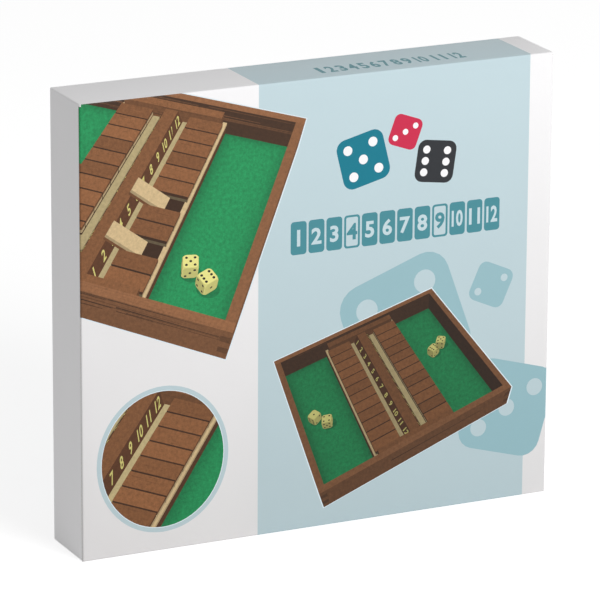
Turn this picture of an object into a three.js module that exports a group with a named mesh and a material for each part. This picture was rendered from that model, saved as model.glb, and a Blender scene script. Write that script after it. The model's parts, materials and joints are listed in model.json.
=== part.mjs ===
// Boxed shut the box game: a printed folding carton that stands upright on its bottom wall,
// with the complete two sided twelve number wooden game inside it.
// Millimetres, +Z up. Origin at the centre of the carton's footprint, on the surface it stands on.
// X runs along the front from left to right, the printed front cover faces -Y.
// The game lies upright in the carton with its open side towards the cover. Heights above the
// game's underside are called levels here, and a level grows towards the front, along -Y.

import * as THREE from 'three';
import { RoundedBoxGeometry } from 'three/addons/geometries/RoundedBoxGeometry.js';

// Driving sizes

const carton = { width: 332, height: 300, depth: 48, board: 1.6 };
const players_tiles = 12;

// Clearances: glued faces, folds, turning and loose pieces

const glue_line = 0.05;
const fold_gap = 0.2;
const running_gap = 0.3;

// Flaps of the front cover. The tuck flap dips a little as it swings, so it runs above the bottom wall.

const tuck_flap = { reach: 20, swing_room: 1.0, end_room: 2.8 };
const dust_flap = { reach: 18, length: 200, from_bottom: 40, liner_gap: 0.4, tray_gap: 0.6 };

// Room between the game and the carton, and the pad behind the tuck flap

const tray_room = { top: 3.9, front: 1.2 };
const bottom_pad_room = { front: 1, side: 0.5 };

// The game's wooden frame and its bottom

const tray = { wall: 10, finger_rows: 5, floor: 5 };
const felt = { thickness: 1.2, edge_gap: 0.3 };

// The number ridge with its two sloping faces, the end rails and what they carry

const ridge = { width: 30, top_width: 16, slope_level: 19, top_level: 34 };
const end_rail = { thickness: 12, top_level: 36, corner: 7 };
const dowel = { diameter: 8.5, below_tiles: 1.75 };
const rod = { diameter: 3 };
const divider = { width: 5, cap: 3.7, tile_lap: 2.6, cap_gap: 0.3 };

// Number tiles: level of their underside at rest, and the rod hole counted from the inner end

const tile = { length: 42, thickness: 8, level: 22, rod_from_end: 11, gap: 0.5, corner: 2.2 };

// Dice

const die = { size: 16, corner: 2.2, spacing: 6, gap: 0.2 };

// Facets of round shapes

const corner_steps = 3;
const hole_sides = 16;
const dowel_sides = 24;
const rod_sides = 16;
const die_segments = 2;

// Places worked out from the sizes above

const half_width = carton.width / 2;
const half_depth = carton.depth / 2;
const cover_back = -half_depth + carton.board;
const cover_top = carton.height - carton.board - fold_gap;
const wall_front = cover_back + fold_gap;
const panel_front = half_depth - carton.board;
const liner_face = half_width - 2 * carton.board - glue_line;
const dust_flap_outer = liner_face - dust_flap.liner_gap;
const dust_flap_inner = dust_flap_outer - carton.board;

const tuck_flap_low = carton.board + tuck_flap.swing_room;
const tuck_flap_high = tuck_flap_low + carton.board;
const tuck_flap_end = cover_back + tuck_flap.reach;

const tray_back = panel_front - glue_line - carton.board - glue_line;
const tray_half = dust_flap_inner - dust_flap.tray_gap;
const tray_low = tuck_flap_high + running_gap;
const tray_high = carton.height - carton.board - tray_room.top;
const tray_rise = tray_back - cover_back - tray_room.front;

const well_half = tray_half - tray.wall;
const well_low = tray_low + tray.wall;
const well_high = tray_high - tray.wall;
const well_centre = (well_low + well_high) / 2;

const tile_zone_low = well_low + glue_line + end_rail.thickness;
const tile_zone_high = well_high - glue_line - end_rail.thickness;
const tile_pitch = (tile_zone_high - tile_zone_low) / players_tiles;
const tile_width = tile_pitch - tile.gap;

const ridge_half = ridge.width / 2;
const dowel_x = ridge_half + running_gap + dowel.diameter / 2;
const dowel_level = tile.level - dowel.below_tiles - dowel.diameter / 2;
const tile_inner = dowel_x + dowel.diameter / 2 + running_gap;
const tile_outer = tile_inner + tile.length;
const rod_x = tile_inner + tile.rod_from_end;
const rod_level = tile.level + tile.thickness / 2;
const divider_inner = tile_outer - divider.tile_lap;
const divider_outer = divider_inner + divider.width;
const divider_top = tile.level - divider.cap_gap - divider.cap - glue_line;
const floor_top = tray.floor + glue_line;
const felt_top = floor_top + felt.thickness;
const rod_low = well_low + running_gap;
const rod_high = well_high - running_gap;

// Materials

const material = (color, roughness, metalness = 0) =>
  new THREE.MeshStandardMaterial({ color, roughness, metalness });

const print_white = material(0xe9e8ea, 0.45);
const print_blue = material(0xc2d6dd, 0.42);
const raw_board = material(0xb99a72, 0.85);
const sapele = material(0x8a5a3c, 0.55);
const sapele_dark = material(0x5a3624, 0.6);
const maple = material(0xd9c49c, 0.6);
const plywood = material(0xa77f58, 0.7);
const green_felt = material(0x2a8f58, 0.95);
const steel = material(0xb9b9b6, 0.3, 1);
const cream = material(0xe2dc86, 0.3);

const boxed_game = new THREE.Group();

// Shape helpers

function add(name, geometry, finish) {
  const mesh = new THREE.Mesh(geometry, finish);
  mesh.name = name;
  boxed_game.add(mesh);
  return mesh;
}

const sides = [['left', -1], ['right', 1]];

// The lower and upper end of a span on one side, given its distances from the middle plane
function span(sign, near, far) {
  return sign < 0 ? [-far, -near] : [near, far];
}

// A block between two corners
function block(name, finish, low, high) {
  const size = high.map((value, axis) => value - low[axis]);
  const mesh = add(name, new THREE.BoxGeometry(...size), finish);
  mesh.position.set(...high.map((value, axis) => (value + low[axis]) / 2));
  return mesh;
}

// A block of the game, given by its levels above the game's underside
function game_block(name, finish, x, level, z) {
  return block(name, finish, [x[0], tray_back - level[1], z[0]], [x[1], tray_back - level[0], z[1]]);
}

// A closed outline with rounded corners; each corner is [x, level, radius]
function rounded_outline(corners) {
  const points = [];
  corners.forEach(([x, level, radius], index) => {
    const before = corners[(index + corners.length - 1) % corners.length];
    const after = corners[(index + 1) % corners.length];
    const corner = new THREE.Vector2(x, level);
    const steps = radius > 0 ? corner_steps : 0;
    const to_before = new THREE.Vector2(before[0], before[1]).sub(corner).setLength(radius);
    const to_after = new THREE.Vector2(after[0], after[1]).sub(corner).setLength(radius);
    const centre = corner.clone().add(to_before).add(to_after);
    for (let step = 0; step <= steps; step += 1) {
      const angle = steps > 0 ? (step / steps) * (Math.PI / 2) : 0;
      const point = centre.clone()
        .addScaledVector(to_after, -Math.cos(angle))
        .addScaledVector(to_before, -Math.sin(angle));
      points.push([point.x, point.y]);
    }
  });
  return points;
}

// The points of a round hole with flat sides
function round_hole(x, level, radius) {
  return Array.from({ length: hole_sides }, (unused, side) => {
    const angle = (side / hole_sides) * 2 * Math.PI;
    return [x + radius * Math.cos(angle), level + radius * Math.sin(angle)];
  });
}

// A flat shape drawn in x and level, given a thickness along z. Levels point along -Y, which mirrors
// the outline, so its points are taken in reverse to keep it running against its holes.
function game_slice(name, finish, outline, holes, z_low, z_high) {
  const drawn = (points) => points.map(([x, level]) => new THREE.Vector2(x, -level));
  const shape = new THREE.Shape(drawn(outline).reverse());
  shape.holes = holes.map((hole) => new THREE.Path(drawn(hole)));
  const geometry = new THREE.ExtrudeGeometry(shape, { depth: z_high - z_low, bevelEnabled: false });
  const mesh = add(name, geometry, finish);
  mesh.position.set(0, tray_back, z_low);
  return mesh;
}

// A round bar along z in the game
function game_bar(name, finish, x, level, diameter, sides) {
  const geometry = new THREE.CylinderGeometry(diameter / 2, diameter / 2, rod_high - rod_low, sides);
  geometry.rotateX(Math.PI / 2);
  const mesh = add(name, geometry, finish);
  mesh.position.set(x, tray_back - level, (rod_high + rod_low) / 2);
  return mesh;
}

// Carton: one folded board sheet, with a second board inside each side wall

function build_carton() {
  const wall_low = carton.board + glue_line;
  const wall_high = carton.height - carton.board - glue_line;
  const wall_back = panel_front - glue_line;
  const liner_outer = half_width - carton.board - glue_line;

  block('carton_back_panel', print_white,
    [-half_width, panel_front, 0], [half_width, half_depth, carton.height]);
  block('carton_top_wall', print_white,
    [-half_width, -half_depth, carton.height - carton.board], [half_width, wall_back, carton.height]);
  block('carton_bottom_wall', print_white,
    [-half_width, wall_front, 0], [half_width, wall_back, carton.board]);
  for (const [side, sign] of sides) {
    const wall_x = span(sign, half_width - carton.board, half_width);
    const liner_x = span(sign, liner_face, liner_outer);
    block(`carton_${side}_wall`, print_white,
      [wall_x[0], wall_front, wall_low], [wall_x[1], wall_back, wall_high]);
    block(`carton_${side}_liner`, raw_board,
      [liner_x[0], wall_front, wall_low], [liner_x[1], wall_back, wall_high]);
  }
  const pad_half = liner_face - bottom_pad_room.side;
  block('bottom_pad', raw_board,
    [-pad_half, tuck_flap_end + bottom_pad_room.front, wall_low],
    [pad_half, wall_back, tray_low - glue_line]);
  block('back_pad', raw_board,
    [-tray_half, tray_back + glue_line, tray_low], [tray_half, wall_back, tray_high]);
}

// Front cover: the printed panel with a tuck flap below and a dust flap on each side

function build_cover() {
  block('front_cover', print_blue,
    [-half_width, -half_depth, 0], [half_width, cover_back, cover_top]);
  const flap_half = liner_face - tuck_flap.end_room;
  block('cover_tuck_flap', raw_board,
    [-flap_half, cover_back + glue_line, tuck_flap_low], [flap_half, tuck_flap_end, tuck_flap_high]);
  const flap_high = dust_flap.from_bottom + dust_flap.length;
  for (const [side, sign] of sides) {
    const x = span(sign, dust_flap_inner, dust_flap_outer);
    block(`cover_${side}_dust_flap`, raw_board,
      [x[0], cover_back + glue_line, dust_flap.from_bottom],
      [x[1], cover_back + dust_flap.reach, flap_high]);
  }
}

// The outline of a frame rail, along its length and in level, with its share of the finger joint
function rail_outline(centre, well_length, outer_rows) {
  const row = tray_rise / tray.finger_rows;
  const short_half = well_length / 2 - glue_line;
  const long_half = well_length / 2 + tray.wall;
  const right_side = [];
  for (let index = 0; index < tray.finger_rows; index += 1) {
    const reaches = (index % 2 === 0) === outer_rows;
    const half = reaches ? long_half : short_half;
    const low = index === 0 ? 0 : index * row + (reaches ? glue_line : 0);
    const high = index === tray.finger_rows - 1 ? tray_rise : (index + 1) * row - (reaches ? 0 : -glue_line);
    right_side.push([half, low], [half, high]);
  }
  const left_side = right_side.map(([half, level]) => [-half, level]).reverse();
  return [...right_side, ...left_side].map(([along, level]) => [centre + along, level]);
}

function build_tray() {
  const across = rail_outline(0, 2 * well_half, true);
  game_slice('tray_rail_bottom', sapele, across, [], tray_low, well_low);
  game_slice('tray_rail_top', sapele, across, [], well_high, tray_high);

  const upright = rail_outline(well_centre, well_high - well_low, false);
  for (const [side, sign] of sides) {
    const shape = new THREE.Shape(upright.map(([along, level]) => new THREE.Vector2(-level, along)));
    const geometry = new THREE.ExtrudeGeometry(shape, { depth: tray.wall, bevelEnabled: false });
    geometry.rotateY(Math.PI / 2);
    geometry.rotateX(Math.PI / 2);
    const mesh = add(`tray_rail_${side}`, geometry, sapele);
    mesh.position.set(sign < 0 ? -tray_half : well_half, tray_back, 0);
  }

  const inside = [well_low + glue_line, well_high - glue_line];
  const floor_half = well_half - glue_line;
  game_block('tray_floor', plywood, [-floor_half, floor_half], [0, tray.floor], inside);
  for (const [side, sign] of sides) {
    const felt_x = span(sign, divider_outer + felt.edge_gap, well_half - felt.edge_gap);
    const felt_z = [well_low + felt.edge_gap, well_high - felt.edge_gap];
    game_block(`felt_bed_${side}`, green_felt, felt_x, [floor_top, felt_top], felt_z);
    const divider_x = span(sign, divider_inner, divider_outer);
    game_block(`divider_${side}`, sapele_dark, divider_x, [floor_top, divider_top], inside);
    game_block(`divider_cap_${side}`, maple, divider_x,
      [divider_top + glue_line, tile.level - divider.cap_gap], inside);
  }
}

// The middle of the game: number ridge, end rails, dowels and tile rods

function build_middle() {
  const right_side = [
    [ridge_half, floor_top], [ridge_half, ridge.slope_level], [ridge.top_width / 2, ridge.top_level]];
  const left_side = right_side.map(([x, level]) => [-x, level]).reverse();
  game_slice('number_ridge', sapele_dark, [...right_side, ...left_side], [],
    tile_zone_low + glue_line, tile_zone_high - glue_line);

  const half = divider_inner - running_gap;
  const outline = rounded_outline([
    [-half, floor_top, 0], [half, floor_top, 0],
    [half, end_rail.top_level, end_rail.corner], [-half, end_rail.top_level, end_rail.corner]]);
  const holes = [-1, 1].flatMap((sign) => [
    round_hole(sign * rod_x, rod_level, rod.diameter / 2 + running_gap),
    round_hole(sign * dowel_x, dowel_level, dowel.diameter / 2 + running_gap)]);
  game_slice('end_rail_bottom', sapele, outline, holes, well_low + glue_line, tile_zone_low);
  game_slice('end_rail_top', sapele, outline, holes, tile_zone_high, well_high - glue_line);

  for (const [side, sign] of sides) {
    game_bar(`tile_rod_${side}`, steel, sign * rod_x, rod_level, rod.diameter, rod_sides);
    game_bar(`dowel_${side}`, maple, sign * dowel_x, dowel_level, dowel.diameter, dowel_sides);
  }
}

// Twelve tiles for each player, numbered from that player's left: upwards on the right side of the
// game and downwards on its left side

function build_tiles() {
  const low = tile.level;
  const high = tile.level + tile.thickness;
  for (const [side, sign] of sides) {
    const x = span(sign, tile_inner, tile_outer);
    const outline = rounded_outline([
      [x[0], low, tile.corner], [x[1], low, tile.corner],
      [x[1], high, tile.corner], [x[0], high, tile.corner]]);
    const hole = round_hole(sign * rod_x, rod_level, rod.diameter / 2 + running_gap);
    for (let index = 0; index < players_tiles; index += 1) {
      const place = sign > 0 ? index : players_tiles - 1 - index;
      const z_low = tile_zone_low + place * tile_pitch + tile.gap / 2;
      game_slice(`tile_${side}_${index + 1}`, sapele, outline, [hole], z_low, z_low + tile_width);
    }
  }
}

// Four loose dice, two in each felt well, resting on the lower rail

function build_dice() {
  const well_middle = (divider_outer + well_half) / 2;
  const offset = (die.size + die.spacing) / 2;
  for (const [side, sign] of sides) {
    [-offset, offset].forEach((shift, index) => {
      const geometry = new RoundedBoxGeometry(die.size, die.size, die.size, die_segments, die.corner);
      const mesh = add(`die_${side}_${index + 1}`, geometry, cream);
      mesh.position.set(sign * (well_middle + shift),
        tray_back - felt_top - die.gap - die.size / 2, well_low + die.gap + die.size / 2);
    });
  }
}

build_carton();
build_cover();
build_tray();
build_middle();
build_tiles();
build_dice();

export default boxed_game;
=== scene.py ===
import json
import math
import random
from collections import namedtuple
from itertools import product

import bmesh
import bpy
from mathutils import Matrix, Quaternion, Vector
from mathutils.geometry import convex_hull_2d, delaunay_2d_cdt
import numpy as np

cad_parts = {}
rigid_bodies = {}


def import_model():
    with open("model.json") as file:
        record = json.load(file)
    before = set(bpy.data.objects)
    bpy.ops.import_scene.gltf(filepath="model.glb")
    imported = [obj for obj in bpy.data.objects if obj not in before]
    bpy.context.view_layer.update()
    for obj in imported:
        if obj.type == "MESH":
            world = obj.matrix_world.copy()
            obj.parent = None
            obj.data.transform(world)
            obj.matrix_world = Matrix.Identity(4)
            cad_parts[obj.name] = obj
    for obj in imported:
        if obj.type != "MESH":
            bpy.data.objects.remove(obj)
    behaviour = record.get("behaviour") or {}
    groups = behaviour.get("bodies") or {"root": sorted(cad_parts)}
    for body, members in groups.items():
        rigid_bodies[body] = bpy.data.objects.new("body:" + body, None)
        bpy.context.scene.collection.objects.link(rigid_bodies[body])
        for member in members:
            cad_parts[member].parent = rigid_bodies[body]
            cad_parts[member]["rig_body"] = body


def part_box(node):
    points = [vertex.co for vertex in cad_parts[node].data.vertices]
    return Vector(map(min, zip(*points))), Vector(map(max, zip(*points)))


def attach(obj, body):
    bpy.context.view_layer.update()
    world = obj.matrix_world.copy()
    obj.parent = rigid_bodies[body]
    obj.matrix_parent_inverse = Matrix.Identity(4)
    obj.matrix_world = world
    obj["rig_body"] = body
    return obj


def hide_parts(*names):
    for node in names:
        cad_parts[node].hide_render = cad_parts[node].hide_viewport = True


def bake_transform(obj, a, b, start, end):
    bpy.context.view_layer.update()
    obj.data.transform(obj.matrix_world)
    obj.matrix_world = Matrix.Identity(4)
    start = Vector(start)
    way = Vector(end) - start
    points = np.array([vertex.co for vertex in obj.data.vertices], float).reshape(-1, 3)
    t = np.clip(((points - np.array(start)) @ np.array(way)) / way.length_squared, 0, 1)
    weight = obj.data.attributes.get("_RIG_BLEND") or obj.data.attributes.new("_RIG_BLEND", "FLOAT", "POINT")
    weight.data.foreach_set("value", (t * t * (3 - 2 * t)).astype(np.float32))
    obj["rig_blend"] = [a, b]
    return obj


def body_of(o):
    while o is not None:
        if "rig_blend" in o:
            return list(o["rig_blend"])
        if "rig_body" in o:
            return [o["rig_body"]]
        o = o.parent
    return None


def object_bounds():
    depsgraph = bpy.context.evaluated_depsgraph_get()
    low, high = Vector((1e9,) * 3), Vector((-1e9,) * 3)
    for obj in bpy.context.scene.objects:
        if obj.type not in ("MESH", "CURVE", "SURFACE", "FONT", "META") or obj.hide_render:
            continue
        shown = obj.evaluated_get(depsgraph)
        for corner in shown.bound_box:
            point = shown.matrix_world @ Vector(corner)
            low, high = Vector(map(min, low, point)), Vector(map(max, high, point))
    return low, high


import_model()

cad_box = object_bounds()

# Units and sizes taken from the frame

MM = 0.001
carton_low, carton_high = cad_box
carton_width = carton_high.x - carton_low.x
carton_height = carton_high.z - carton_low.z
cover_low, cover_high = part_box("front_cover")
board = cover_high.y - cover_low.y
wall_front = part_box("carton_left_wall")[0].y
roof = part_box("carton_top_wall")[0].z
tray_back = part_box("tray_floor")[1].y
tile_count = 12


def srgb(red, green, blue, grain=0.0):
    """A linear colour from values of 0 to 255; its last value is the grain of the print."""
    shares = [value / 255 for value in (red, green, blue)]
    return (*(s / 12.92 if s <= 0.04045 else ((s + 0.055) / 1.055) ** 2.4 for s in shares), grain)


def mix(first, second, share):
    return tuple(a + (b - a) * share for a, b in zip(first, second))


def shade(colour, light):
    """A colour in another light, with its grain kept."""
    return (colour[0] * light, colour[1] * light, colour[2] * light, colour[3])


def evenly(low, high, count):
    """The places that divide a length into equal parts, with both its ends."""
    return [low + (high - low) * index / count for index in range(count + 1)]


def along_axis(axis, first, second, third):
    """A place by its value along an axis, and its values along the two axes that come after it."""
    place = Vector()
    place[axis], place[(axis + 1) % 3], place[(axis + 2) % 3] = first, second, third
    return place


def add_object(name, data):
    item = bpy.data.objects.new(name, data)
    bpy.context.scene.collection.objects.link(item)
    return item


# Camera, as the photograph was taken

camera_azimuth = -25.51
camera_elevation = 16.80
camera_roll = 0.324
camera_distance = 3.105
camera_aim = Vector((-0.0144, -0.024, 0.1551))
camera_lens = 291.6


def aim(item, target, back, distance, roll=0.0):
    """Puts a camera or a lamp at a distance from its target, and turns it towards the target."""
    item.location = target + back * distance
    item.rotation_mode = "QUATERNION"
    turn = Quaternion((0, 0, 1), math.radians(roll))
    item.rotation_quaternion = (-back).to_track_quat("-Z", "Y") @ turn


def make_camera():
    data = bpy.data.cameras.new("camera")
    data.lens = camera_lens
    data.sensor_width = 36
    azimuth, elevation = math.radians(camera_azimuth), math.radians(camera_elevation)
    back = Vector((math.sin(azimuth) * math.cos(elevation),
                   -math.cos(azimuth) * math.cos(elevation), math.sin(elevation)))
    camera = add_object("camera", data)
    aim(camera, camera_aim, back, camera_distance, camera_roll)
    bpy.context.scene.camera = camera


# Material building blocks


def feed(node, inputs):
    """Gives a node its inputs, each a value or another node's output."""
    for key, value in inputs.items():
        if isinstance(value, bpy.types.NodeSocket):
            node.id_data.links.new(value, node.inputs[key])
        else:
            node.inputs[key].default_value = value
    return node


def make_node(tree, kind, inputs=None, **settings):
    node = tree.nodes.new(kind)
    for key, value in settings.items():
        setattr(node, key, value)
    return feed(node, inputs or {})


def feed_shader(tree, **inputs):
    """Gives a material's shader its inputs; an underline in a name stands for a space."""
    feed(tree.nodes["Principled BSDF"], {key.replace("_", " "): value for key, value in inputs.items()})


def new_material(name, **inputs):
    material = bpy.data.materials.new(name)
    material.use_nodes = True
    feed_shader(material.node_tree, **inputs)
    return material, material.node_tree


def object_place(tree, scale=(1, 1, 1), shuffle=0.0):
    """Places in the piece's own frame, stretched, and shifted from piece to piece by shuffle."""
    place = make_node(tree, "ShaderNodeTexCoord").outputs["Object"]
    if shuffle:
        shift = math_node(tree, "MULTIPLY", piece_chance(tree), shuffle)
        place = math_node(tree, "ADD", place, shift, "ShaderNodeVectorMath")
    return make_node(tree, "ShaderNodeMapping", {"Vector": place, "Scale": scale}).outputs[0]


def piece_chance(tree):
    """A value from 0 to 1 that differs from piece to piece."""
    return make_node(tree, "ShaderNodeObjectInfo").outputs["Random"]


def noise(tree, place, scale, detail=3.0, roughness=0.55, distortion=0.0):
    return make_node(tree, "ShaderNodeTexNoise",
                     {"Vector": place, "Scale": scale, "Detail": detail, "Roughness": roughness,
                      "Distortion": distortion}).outputs["Fac"]


def flutes(tree, distortion, scale=105, direction="X"):
    """Even bands, like the flutes of the board."""
    return make_node(tree, "ShaderNodeTexWave",
                     {"Vector": object_place(tree), "Scale": scale, "Distortion": distortion},
                     wave_type="BANDS", bands_direction=direction).outputs["Fac"]


def math_node(tree, operation, first, second, kind="ShaderNodeMath"):
    return make_node(tree, kind, {0: first, 1: second}, operation=operation).outputs[0]


def rescale(tree, value, low, high):
    """Turns a value from 0 to 1 into one from low to high."""
    return make_node(tree, "ShaderNodeMapRange",
                     {"Value": value, "To Min": low, "To Max": high}).outputs["Result"]


def tint(tree, colour, amount):
    """A colour made darker or lighter by a grey amount around 1."""
    return math_node(tree, "MULTIPLY", colour, amount, "ShaderNodeVectorMath")


def choose(tree, share, first, second):
    """The first colour where the share is 0, the second where it is 1."""
    return make_node(tree, "ShaderNodeMix", {"Factor": share, 6: first, 7: second},
                     data_type="RGBA").outputs[2]


def ramp(tree, value, positions, colours):
    node = make_node(tree, "ShaderNodeValToRGB", {"Fac": value})
    elements = node.color_ramp.elements
    while len(elements) < len(colours):
        elements.new(0.5)
    for element, position, colour in zip(elements, positions, colours):
        element.position = position
        element.color = (*colour[:3], 1)
    return node.outputs["Color"]


def bump(tree, height, strength, distance):
    return make_node(tree, "ShaderNodeBump",
                     {"Height": height, "Strength": strength, "Distance": distance}).outputs["Normal"]


# Materials of the carton


def make_print_material():
    """Printed paper on fluted board: the ink colour comes with the mesh, its last value is the grain."""
    material, tree = new_material("printed_paper", Specular_IOR_Level=0.2)
    ink = make_node(tree, "ShaderNodeAttribute", attribute_name="ink", attribute_type="GEOMETRY").outputs
    fine = noise(tree, object_place(tree), 1400, detail=2.0)
    broad = noise(tree, object_place(tree), 26)
    speckle = noise(tree, object_place(tree), 420, detail=4.0, roughness=0.75)
    grain = math_node(tree, "MULTIPLY", math_node(tree, "SUBTRACT", speckle, 0.5),
                      rescale(tree, ink["Alpha"], 0.02, 2.6))
    amount = math_node(tree, "ADD", grain, rescale(tree, broad, 0.985, 1.012))
    height = math_node(tree, "ADD", math_node(tree, "MULTIPLY", flutes(tree, 0.6), 0.12),
                       math_node(tree, "MULTIPLY", fine, 0.5))
    feed_shader(tree, Base_Color=tint(tree, ink["Color"], amount),
                Roughness=rescale(tree, broad, 0.36, 0.5),
                Normal=bump(tree, height, strength=0.22, distance=0.02 * MM))
    return material


def make_board_material(name, cut_edges=False):
    """Unprinted brown board with its fibres and flutes; its cut edges, if they show, face along y, with
    painted shade in the flutes' hollows.
    """
    material, tree = new_material(name, Roughness=0.85, Specular_IOR_Level=0.2)
    fibres = noise(tree, object_place(tree, (1, 1, 0.25)), 2300, detail=4.0, roughness=0.7)
    cloud = noise(tree, object_place(tree, shuffle=3.0), 9)
    brown = ramp(tree, fibres, (0.25, 0.55, 0.8),
                 (srgb(160, 126, 86), srgb(184, 150, 108), srgb(197, 166, 125)))
    colour = tint(tree, brown, rescale(tree, cloud, 0.93, 1.05))
    if cut_edges:
        normal = make_node(tree, "ShaderNodeTexCoord").outputs["Normal"]
        facing = make_node(tree, "ShaderNodeSeparateXYZ", {0: normal}).outputs["Y"]
        edge = math_node(tree, "GREATER_THAN", math_node(tree, "ABSOLUTE", facing, 0.0), 0.9)
        # Darker bands across the cut edges: the pattern of the flutes, with painted shade in their open
        # hollows.
        flute_shade_bands = rescale(tree, flutes(tree, 1.5, scale=100, direction="Z"), 0.45, 1.05)
        colour = choose(tree, edge, colour, tint(tree, colour, flute_shade_bands))
    height = math_node(tree, "ADD", math_node(tree, "MULTIPLY", flutes(tree, 0.8), 0.5), fibres)
    feed_shader(tree, Base_Color=colour, Normal=bump(tree, height, strength=0.4, distance=0.04 * MM))
    return material


# Materials of the game

wood_stops = (0.25, 0.5, 0.78)
sapele_colours = (srgb(96, 56, 34), srgb(134, 86, 56), srgb(160, 108, 74))
dark_sapele_colours = (srgb(62, 34, 22), srgb(92, 54, 36), srgb(116, 72, 50))
maple_colours = (srgb(196, 166, 120), srgb(222, 196, 152), srgb(234, 212, 174))
tile_low, tile_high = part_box("tile_right_1")
dark_share = 0.42
tile_split = tile_low.y + dark_share * (tile_high.y - tile_low.y)
grain_stretch = 0.045


def make_wood_material(name, grain_axis, colours, behind=None, sizes=(55, 620), tones=(0.82, 1.14),
                       pores=(0.68, 1.22), roughness=(0.62, 0.44)):
    """Wood with its grain along one axis, and perhaps with other colours behind the tiles' split."""
    material, tree = new_material(name, Specular_IOR_Level=0.4)
    place = object_place(tree, [grain_stretch if axis == grain_axis else 1 for axis in "XYZ"], 1.7)
    ribbon = noise(tree, place, sizes[0], detail=4.0, roughness=0.6, distortion=0.6)
    fine = noise(tree, place, sizes[1], roughness=0.65)
    wood = ramp(tree, ribbon, wood_stops, colours)
    if behind:
        depth = make_node(tree, "ShaderNodeSeparateXYZ", {0: object_place(tree)}).outputs["Y"]
        under = math_node(tree, "GREATER_THAN", depth, tile_split)
        wood = choose(tree, under, wood, ramp(tree, ribbon, wood_stops, behind))
    tone = math_node(tree, "MULTIPLY", rescale(tree, piece_chance(tree), *tones),
                     rescale(tree, fine, *pores))
    feed_shader(tree, Base_Color=tint(tree, wood, tone), Roughness=rescale(tree, fine, *roughness),
                Normal=bump(tree, fine, strength=0.35, distance=0.12 * MM))
    return material


def make_felt_material():
    material, tree = new_material("green_felt", Roughness=0.95, Specular_IOR_Level=0.1,
                                  Sheen_Weight=0.25, Sheen_Roughness=0.6)
    fuzz = noise(tree, object_place(tree), 1500, detail=4.0, roughness=0.75)
    cloud = noise(tree, object_place(tree), 35)
    green = ramp(tree, fuzz, (0.25, 0.55, 0.85),
                 (srgb(18, 100, 58), srgb(34, 142, 84), srgb(66, 174, 112)))
    feed_shader(tree, Base_Color=tint(tree, green, rescale(tree, cloud, 0.88, 1.08)),
                Normal=bump(tree, fuzz, strength=0.8, distance=0.25 * MM))
    return material


def make_die_material():
    material, tree = new_material("die_cream", Roughness=0.22, Coat_Weight=0.4, Coat_Roughness=0.12)
    swirl = noise(tree, object_place(tree, shuffle=2.0), 130, roughness=0.5, distortion=2.2)
    cream = ramp(tree, swirl, (0.3, 0.5, 0.72),
                 (srgb(206, 198, 96), srgb(228, 222, 132), srgb(242, 238, 178)))
    feed_shader(tree, Base_Color=cream)
    return material


def make_paint_material(name, colour, roughness, metallic=0.0):
    """Paint or metal with a slight unevenness."""
    material, tree = new_material(name, Metallic=metallic)
    patch = noise(tree, object_place(tree), 420)
    feed_shader(tree, Base_Color=tint(tree, colour[:3], rescale(tree, patch, 0.82, 1.15)),
                Roughness=rescale(tree, patch, roughness - 0.08, roughness + 0.1),
                Normal=bump(tree, patch, strength=0.15, distance=0.02 * MM))
    return material


printed_paper = make_print_material()
board_face = make_board_material("brown_board")
board_wall = make_board_material("brown_board_wall", cut_edges=True)
sapele_x = make_wood_material("sapele_across", "X", sapele_colours)
sapele_z = make_wood_material("sapele_upright", "Z", sapele_colours)
dark_sapele = make_wood_material("dark_sapele", "Z", dark_sapele_colours)
maple = make_wood_material("maple", "Z", maple_colours, pores=(0.888, 1.077), roughness=(0.67, 0.49))
plywood = make_wood_material("plywood", "X", dark_sapele_colours, roughness=(0.72, 0.54))
tile_wood = make_wood_material("tile_wood", "X", sapele_colours, maple_colours, sizes=(70, 700),
                               tones=(0.8, 1.16), pores=(0.8, 1.14), roughness=(0.6, 0.44))
green_felt = make_felt_material()
die_cream = make_die_material()
steel = make_paint_material("steel_rod", srgb(190, 190, 188), 0.3, metallic=1.0)
gold_ink = make_paint_material("gold_numerals", srgb(214, 200, 112), 0.42, metallic=0.25)
pip_black = make_paint_material("pip_paint", srgb(28, 26, 26), 0.4)


# Pieces and meshes


def new_piece(name, mesh, body, slot, *replaced):
    piece = add_object(name, mesh)
    if replaced:
        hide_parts(*replaced)
    if body:
        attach(piece, body)
    return piece


def put_inks(mesh, inks):
    """Gives every face corner of a mesh its ink."""
    colours = mesh.color_attributes.new(name="ink", type="FLOAT_COLOR", domain="CORNER")
    colours.data.foreach_set("color", [value for ink in inks for value in ink])


def build_mesh(name, points, faces, materials, inks=None, kinds=None):
    """A mesh from points and faces; kinds gives each face its material, inks each corner its ink."""
    mesh = bpy.data.meshes.new(name)
    mesh.from_pydata(points, [], faces)
    for material in materials:
        mesh.materials.append(material)
    if kinds:
        mesh.polygons.foreach_set("material_index", kinds)
    if inks:
        put_inks(mesh, inks)
    mesh.validate()
    return mesh


def mesh_of(shape, name, *materials):
    """Ends the work on a bmesh and makes a mesh of it."""
    mesh = bpy.data.meshes.new(name)
    shape.to_mesh(mesh)
    shape.free()
    for material in materials:
        mesh.materials.append(material)
    return mesh


def soften(mesh, degrees):
    """Shades a mesh smoothly, but for edges that turn by more than these degrees."""
    mesh.polygons.foreach_set("use_smooth", [True] * len(mesh.polygons))
    mesh.set_sharp_from_angle(angle=math.radians(degrees))


def rim_edges(faces):
    """The outer edges of a flat mesh, each as its first corner and the next one."""
    edges = [(face[i - 1], face[i]) for face in faces for i in range(len(face))]
    inner = set(edges)
    return {a: b for a, b in edges if (b, a) not in inner}


def closed_sheet(front, count):
    """The front, back and rim faces of a sheet; the points of its back follow those of its front."""
    back = [tuple(count + index for index in reversed(face)) for face in reversed(front)]
    return front + back + [(b, a, count + a, count + b) for a, b in rim_edges(front).items()]


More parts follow.
